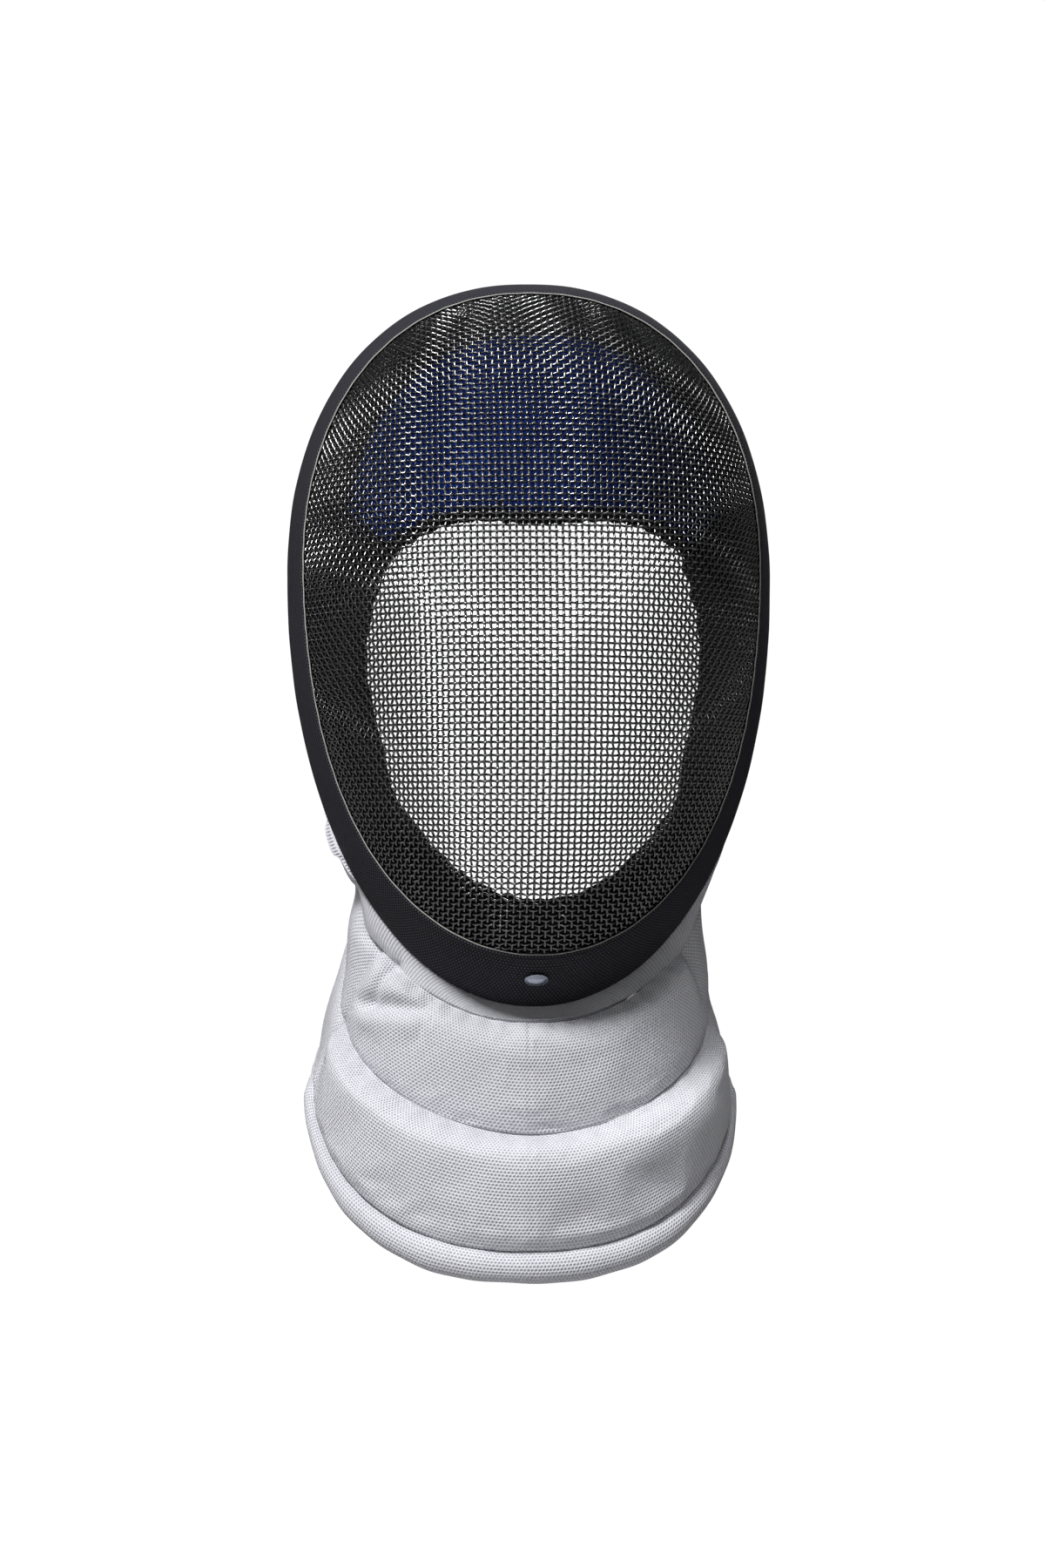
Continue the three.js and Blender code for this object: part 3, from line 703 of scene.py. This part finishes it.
def liner_pad(name, start, end, inner, outer, thickness, offset=PAD_OFFSET, slack=0.0):
    """A pad from angle to angle and from share to share, which follows the bowl in front and swells behind.
    slack puckers it along its seams."""
    u = np.linspace(0, 1, 72)[:, None]
    v = np.linspace(0, 1, 26)[None]
    t = np.radians(start + (end - start) * u) + 0 * v
    share = outer(t) + (inner(t) - outer(t)) * v
    at = v_at_share(t, share)
    offset = PAD_OFFSET + (offset - PAD_OFFSET) * np.clip((46 - np.abs(wall(t, at)[..., 0])) / 12, 0, 1)
    pucker = 1 + slack * np.sin(u * 46 + 1.3 * np.sin(v * 9)) * (2 * v - 1) ** 2
    depth = offset + 1.0 + (thickness - 1.0) * fullness(u) * fullness(v) * pucker
    return add_piece(name, *shell(off_wall(t, at, -offset), off_wall(t, at, -depth)))


def brushed_material(name, color, nap):
    """A short-napped cloth: fine noise lifts and lightens the nap, and a broad one strokes it both ways."""
    material, tree, shader = plain_material(name, color, 0.9, Specular_IOR_Level=0.2)
    where = tree.nodes.new("ShaderNodeTexCoord")
    fine = tree.nodes.new("ShaderNodeTexNoise")
    fine.inputs["Scale"].default_value = 1400
    fine.inputs["Detail"].default_value = 4
    broad = tree.nodes.new("ShaderNodeTexNoise")
    broad.inputs["Scale"].default_value = 45
    for noise in (fine, broad):
        tree.links.new(where.outputs["Object"], noise.inputs["Vector"])
    both = tree.nodes.new("ShaderNodeMath")
    both.operation = "ADD"
    tree.links.new(fine.outputs["Fac"], both.inputs[0])
    tree.links.new(broad.outputs["Fac"], both.inputs[1])
    tone = tree.nodes.new("ShaderNodeMix")
    tone.data_type = "RGBA"
    tone.inputs["A"].default_value = (*(c * 0.6 for c in color), 1)
    tone.inputs["B"].default_value = (*(c * 1.7 for c in color), 1)
    spread = tree.nodes.new("ShaderNodeMapRange")
    spread.inputs["From Min"].default_value = 0.6
    spread.inputs["From Max"].default_value = 1.4
    tree.links.new(both.outputs[0], spread.inputs["Value"])
    tree.links.new(spread.outputs["Result"], tone.inputs["Factor"])
    tree.links.new(tone.outputs["Result"], shader.inputs["Base Color"])
    relief = tree.nodes.new("ShaderNodeBump")
    relief.inputs["Strength"].default_value = 0.6
    relief.inputs["Distance"].default_value = nap
    tree.links.new(fine.outputs["Fac"], relief.inputs["Height"])
    tree.links.new(relief.outputs["Normal"], shader.inputs["Normal"])
    return material


navy_cloth = brushed_material("navy_cloth", (0.004, 0.021, 0.15), 0.0004)
black_cloth = brushed_material("black_cloth", (0.008, 0.008, 0.009), 0.0004)


def crown_inner(t):
    return crown_share(t) - 0.002


pads = [
    ("liner_forehead", "forehead_pad", (23.5, 156.5), (binding_share, crown_share), 17, PAD_OFFSET, navy_cloth),
    ("liner_crown", "crown_pad", (23.5, 156.5), (crown_inner, full_share), 15.5, 7.8, black_cloth),
    ("liner_cheek_right", "cheek_pad_right", (-53.2, 24.2), (binding_share, full_share), 20, PAD_OFFSET, black_cloth),
    ("liner_cheek_left", "cheek_pad_left", (155.8, 233.2), (binding_share, full_share), 20, PAD_OFFSET, black_cloth),
    ("liner_chin", "chin_pad", (232.8, 307.2), (binding_share, full_share), 12, PAD_OFFSET, black_cloth),
]
for name, node, (start, end), (inner, outer), thickness, offset, cloth in pads:
    pad = liner_pad(name, start, end, inner, outer, thickness, offset, slack=0.05)
    dress(pad, cloth, "navy_cloth" if cloth is navy_cloth else "black_cloth", node)

# The liner's opening is bound with a soft black roll, gathered a little all the way round.
binding_t = np.linspace(0, 2 * pi, 360, endpoint=False)
binding_half = blend_by_direction(binding_t, [5.0, 6.8, 5.0])
binding_v = v_at_share(binding_t, liner_share(binding_t) + binding_half / reach_from_pole(binding_t))
gather = 0.4 * np.sin(binding_t * 41) + 0.3 * np.sin(binding_t * 67 + 1)
binding_middle = off_wall(binding_t, binding_v, -PAD_OFFSET - 4.2)
a = np.arange(14) / 14 * 2 * pi
binding = binding_middle[:, None] + (
    (binding_half + gather)[:, None, None] * np.cos(a)[None, :, None] * to_pole(binding_t, binding_v)[:, None]
    + (3.9 + gather)[:, None, None] * np.sin(a)[None, :, None] * wall_normal(binding_t, binding_v)[:, None]
)
faces, uv = grid_faces(binding, wrap_rows=True, wrap_columns=True)
binding = add_piece("liner_edge_roll", binding.reshape(-1, 3), [faces], uv)
dress(binding, black_cloth, "black_cloth", "liner_binding")

# ------------------------------------------------------------------------------------------- the tongue
# A strip of spring steel sewn into padded black cloth. It leaves the crown under the tape and goes back over
# the head. It is a shell carried along a smooth path, with a sewn edge.

TONGUE_HALF_WIDTH, TONGUE_SAG, TONGUE_THICKNESS = 30, 3.6, 2.6
tongue_route = np.array([[-2, 18.4], [18, 20.6], [48, 15], [78, -2], [98, -32], [102, -72]], float)


def smooth_path(knots, count):
    """A centripetal Catmull-Rom curve through the knots, read at even shares of its knots."""
    ends = np.concatenate([[2 * knots[0] - knots[1]], knots, [2 * knots[-1] - knots[-2]]])
    gaps = np.linalg.norm(np.diff(ends, axis=0), axis=1) ** 0.5
    marks = np.concatenate([[0], np.cumsum(gaps)])
    share = np.linspace(0, len(knots) - 1 - 1e-9, count)
    span = share.astype(int)
    p0, p1, p2, p3 = (ends[span + k] for k in range(4))
    m0, m1, m2, m3 = (marks[span + k][:, None] for k in range(4))
    m = m1 + (m2 - m1) * (share - span)[:, None]
    a1 = (m1 - m) / (m1 - m0) * p0 + (m - m0) / (m1 - m0) * p1
    a2 = (m2 - m) / (m2 - m1) * p1 + (m - m1) / (m2 - m1) * p2
    a3 = (m3 - m) / (m3 - m2) * p2 + (m - m2) / (m3 - m2) * p3
    b1 = (m2 - m) / (m2 - m0) * a1 + (m - m0) / (m2 - m0) * a2
    b2 = (m3 - m) / (m3 - m1) * a2 + (m - m1) / (m3 - m1) * a3
    return (m2 - m) / (m2 - m1) * b1 + (m - m1) / (m2 - m1) * b2


path = smooth_path(tongue_route, 90)
path_3d = np.stack([0 * path[:, 0], path[:, 0], path[:, 1]], -1)
tangent = unit(np.gradient(path_3d, axis=0))
inward = np.cross(tangent, [1.0, 0, 0])
along = np.linspace(0, 1, 90)
end_round = np.sqrt(1 - 0.85 * np.clip((along - 0.82) / 0.18, 0, None) ** 2)
side = np.linspace(-1, 1, 29)
x = side[None] * TONGUE_HALF_WIDTH * end_round[:, None]
rib = 0.5 * np.clip(1 - np.abs(np.abs(side) - 0.9) / 0.06, 0, 1)
body = (TONGUE_THICKNESS / 2) * (0.45 + 0.75 * fullness((side + 1) / 2)) - rib
lay = path_3d[:, None] + x[..., None] * np.array([1.0, 0, 0])
bow = TONGUE_SAG * (x / TONGUE_HALF_WIDTH) ** 2
outer = lay + inward[:, None] * (bow - body)[..., None]
inner = lay + inward[:, None] * (bow + body)[..., None]
tongue = add_piece("sprung_tongue", *shell(outer, inner))
dress(tongue, black_cloth, "black_cloth", "back_tongue")

# ------------------------------------------------------------------------------------------- the bib
# White honeycomb cloth over padding, quilted into channels that hang from the rim and wrap the neck. Each
# channel is fullest under its upper seam and falls back to its lower one, and the cloth drags into folds at
# the corners. Each panel is a shell between two seam lines, and the hem is a soft roll.

BIB_REAR_TURN, RIM_SHARE = 150, 69 / 150
BIB_TURN = {"neck": 62, "middle": 86, "low": 88}
# Each seam line: reach to the side, lean to -X, y and z in front, y at the side, its rise to the side, the
# power of that rise, and then its rise, run back and narrowing on the way to the rear edge.
BIB_LINES = {
    "neck": (79, 0.5, -37, -333, 2, 71, 1.0, 57, 22, 1.0),
    "middle": (88, 2, -52, -384, 6, 56, 0.9, 44, 36, 0.93),
    "low": (101, 4, -63, -439, 10, 76, 1.12, 28, 44, 0.92),
    "hem": (105, 4.5, -66, -455, 10, 80, 1.18, 28, 46, 0.87),
}
# Folds in the cloth: where each begins and ends in the front view, how wide it is, and how far it stands out
# or, below zero, sinks in.
FOLDS = np.array(
    [
        [-95, -232, -88, -250, 11.0, 4.0],
        [-77, -327, -63, -301, 2.6, -3.4],
        [-84, -262, -80, -286, 3.0, -2.2],
        [73, -303, 85, -328, 2.8, -3.0],
        [-83, -322, -45, -327, 4.5, -4.2],
        [-80, -331, -52, -336, 5.0, 1.6],
        [-80, -286, -62, -309, 3.0, -3.4],
        [70, -292, 80, -312, 4.0, -1.8],
        [-60, -418, -30, -428, 7.0, -0.8],
        [40, -398, 84, -372, 9.0, 1.2],
        [10, -441, 70, -428, 4.0, -2.4],
    ]
)


def bib_line(name, turn):
    """A seam line at an angle round the neck: an oval in plan that climbs towards the back."""
    reach_side, lean, y_front, z_front, y_side, rise, power, rear_rise, rear_run, narrowing = BIB_LINES[name]
    front = np.radians(np.minimum(np.abs(turn), 90))
    past = np.maximum(np.abs(turn) - 90, 0) / (BIB_REAR_TURN - 90)
    x = np.sign(turn) * reach_side * (1 + (narrowing - 1) * past) * np.sin(front) - lean
    y = y_side + (y_front - y_side) * np.cos(front) + rear_run * past
    z = z_front + rise * (1 - np.cos(front)) ** power + rear_rise * past
    return np.stack([x, y, z], -1)


def bib_top(turn):
    """The bib's top line, just behind the tape's fold."""
    t = np.radians(270 + turn * RIM_SHARE)
    return wall(t, 0 * t) - to_pole(t, 0 * t) * 3.3


def fold_depth(points):
    """How far the folds push the cloth out: each is a smooth trough along its line, fading at both ends."""
    start, end = FOLDS[:, None, None, :2], FOLDS[:, None, None, 2:4]
    at = points[None, ..., ::2] - start
    line = end - start
    share = (at * line).sum(-1) / (line**2).sum(-1)
    away = np.linalg.norm(at - np.clip(share, 0, 1)[..., None] * line, axis=-1)
    fade = np.clip(1 - (2 * np.clip(share, 0, 1) - 1) ** 4, 0, 1) * 0.8 + 0.2
    return (FOLDS[:, None, None, 5] * fade * np.exp(-((away / FOLDS[:, None, None, 4]) ** 2))).sum(0)


def settle(piece, rows, columns, most):
    """Lets a quilted panel's face settle over its padding. The cloth, cut slightly too large, is blown up for a few
    frames with its seams and its back held, and no point moves further than most, in millimetres."""
    held = np.ones((rows, 2 * columns), bool)
    held[3:-3, 2 : columns - 2] = False
    mesh = piece.data
    before = np.empty(len(mesh.vertices) * 3, np.float32)
    mesh.vertices.foreach_get("co", before)
    group = piece.vertex_groups.new(name="held")
    group.add(np.flatnonzero(held.ravel()).tolist(), 1.0, "REPLACE")
    cloth = piece.modifiers.new("cloth", "CLOTH")
    cloth.settings.vertex_group_mass = "held"
    cloth.settings.quality = 4
    cloth.settings.mass = 0.2
    cloth.settings.tension_stiffness = cloth.settings.compression_stiffness = 8
    cloth.settings.shear_stiffness = 3
    cloth.settings.bending_stiffness = 1.5
    cloth.settings.shrink_min = -0.008
    cloth.settings.use_pressure = True
    cloth.settings.uniform_pressure_force = 1.0
    cloth.settings.effector_weights.gravity = 0
    cloth.collision_settings.use_collision = False
    cloth.point_cache.frame_start, cloth.point_cache.frame_end = 1, 16
    for frame_number in range(1, 17):
        bpy.context.scene.frame_set(frame_number)
    blown = piece.evaluated_get(bpy.context.evaluated_depsgraph_get()).data
    after = np.empty_like(before)
    blown.vertices.foreach_get("co", after)
    piece.modifiers.clear()
    piece.vertex_groups.clear()
    bpy.context.scene.frame_set(1)
    moved = (after - before).reshape(-1, 3)
    length = np.linalg.norm(moved, axis=1, keepdims=True)
    moved *= np.minimum(1, most * MM / np.maximum(length, 1e-9))
    mesh.vertices.foreach_set("co", before + np.where(held.reshape(-1, 1), 0, moved).ravel())
    mesh.update()


def bib_panel(name, above, below, ends, fill, lining, steps, slope=0.0, foot_round=5.0, start=0.0, keel=0.0, loose=0.0):
    """A quilted panel. It rises from its upper seam, where it has a share start of its fullness, and slope is
    the share that it loses on the way down to its rounded foot. keel is the height of the ridge that the
    seam down its middle runs on, and loose is how far the cloth may move as it settles."""
    u = np.linspace(0, 1, steps[0])[:, None]
    v = np.linspace(0, 1, steps[1])[None]
    v = v - 0.12 * np.sin(2 * pi * v)
    seam = 0.12

    def cloth(u, v):
        (a0, b0), (a1, b1) = ends
        turn = a0 + (b0 - a0) * v + (a1 + (b1 - a1) * v - a0 - (b0 - a0) * v) * u
        return above(turn) * (1 - v)[..., None] + below(turn) * v[..., None]

    height = np.linalg.norm(cloth(u, v)[len(u) // 2, 0] - cloth(u, v)[len(u) // 2, -1])
    u, v = np.broadcast_arrays(u, v)
    v_in = (v * (height - 2 * seam) + seam) / height
    small = 1e-3
    here = cloth(u, v_in)
    normal = unit(np.cross(cloth(u, v_in + small) - cloth(u, v_in - small), cloth(u + small, v_in) - cloth(u - small, v_in)))
    past_top = start + (1 - start) * (1 - np.exp(-((v * height / 6.0) ** 1.5)))
    foot = np.clip((1 - v) * height / foot_round, 0, 1)
    past_foot = np.sqrt(1 - (1 - foot) ** 2)
    body = past_top * past_foot * (1 - slope * v ** 1.3) * fullness(u)
    drag = 0.35 * np.sin(here[..., 0] / 7.3 + here[..., 2] / 11) + 0.3 * np.sin(here[..., 2] / 6.1 - here[..., 0] / 17)
    pucker = 0.4 * np.sin(u * height * 2.1) * np.exp(-((np.minimum(v, 1 - v) / 0.12) ** 2))
    aside_seam = np.abs(here[..., 0] + 3.2)
    middle = keel * (np.exp(-aside_seam / 17) - 0.25 * np.exp(-((aside_seam / 0.9) ** 2)))
    swell = 0.6 + body * fill + np.minimum(body * 3, 1) * (drag + pucker + middle + fold_depth(here))
    back = 0.6 + past_top * past_foot * fullness(u) * lining
    panel = add_piece(name, *shell(here + normal * swell[..., None], here - normal * back[..., None]))
    if loose:
        settle(panel, *steps, loose)
    return panel


# The white cloth's greyer pit colour is painted shade in its honeycomb pits.
white_cloth = knitted_material(
    "white_cloth", (0.83, 0.83, 0.87), (0.4, 0.4, 0.48), 0.0017, 0.0006, Sheen_Weight=0.1
)


def line(name):
    return lambda turn: bib_line(name, turn)


def across_front(above, below):
    return (-above, -below), (above, below)


rear = BIB_REAR_TURN
pieces = [
    (bib_panel("collar_strip", bib_top, line("neck"), across_front(rear, rear), 2.6, 0.6, (240, 36), -0.6, 0.5, 0.5), "bib_collar", 0.2),
]
for level, above, below, fill, slope, foot, start in (
    ("upper", "neck", "middle", 15, 0.92, 7, 0.34),
    ("lower", "middle", "low", 16, 0.8, 8, 0.0),
):
    a, b = BIB_TURN[above], BIB_TURN[below]
    seams = line(above), line(below)
    front = bib_panel(
        f"{level}_channel", *seams, across_front(a, b), fill, 3, (200, 56), slope, foot, start, 3.2, 1.3
    )
    right = bib_panel(f"{level}_side_right", *seams, ((a, b), (rear, rear)), 3.5, 2.5, (60, 40), 0.3, 6)
    left = bib_panel(f"{level}_side_left", *seams, ((-rear, -rear), (-a, -b)), 3.5, 2.5, (60, 40), 0.3, 6)
    pieces += [
        (front, f"bib_{level}_channel", 0.6),
        (right, f"bib_{level}_side_right", 0.4),
        (left, f"bib_{level}_side_left", 0.4),
    ]

turn = np.linspace(-rear, rear, 260)
high, low = bib_line("low", turn), bib_line("hem", turn)
down = unit(low - high)
half = np.maximum(np.linalg.norm(low - high, axis=1) / 2 - 0.3, 4.6)
out = unit(np.cross(down, np.gradient(high, axis=0)))
a = (np.arange(24) + 0.5) / 24 * 2 * pi
uneven = 1 + 0.03 * np.sin(turn / 5.2) + 0.02 * np.sin(turn / 2.3 + 1)
centre = high + down * (half - 0.9)[:, None] - out * (1.2 + 1.6 * np.abs(np.sin(np.radians(np.clip(turn, -90, 90)))))[:, None]
roll = centre[:, None] + (
    (half * uneven)[:, None, None] * np.cos(a)[None, :, None] * down[:, None]
    + (6.2 * uneven)[:, None, None] * np.sin(a)[None, :, None] * out[:, None]
)
faces, uv = grid_faces(roll, wrap_columns=True)
ends = np.stack([roll[0].mean(0) - 0.8 * unit(roll[1] - roll[0]).mean(0), roll[-1].mean(0)])
k = np.arange(24)
last = (len(roll) - 1) * 24
tail = len(roll) * 24
first_end = np.stack([(k + 1) % 24, k, np.full(24, tail)], -1)
last_end = np.stack([last + k, last + (k + 1) % 24, np.full(24, tail + 1)], -1)
uv = np.concatenate([uv, np.zeros((24 * 6, 2))])
hem = add_piece("hem_roll", np.concatenate([roll.reshape(-1, 3), ends]), [faces, first_end[:, ::-1], last_end[:, ::-1]], uv)
pieces.append((hem, "bib_hem", 0.7))
for piece, node, fill in pieces:
    dress(piece, white_cloth, "white_cloth", node)
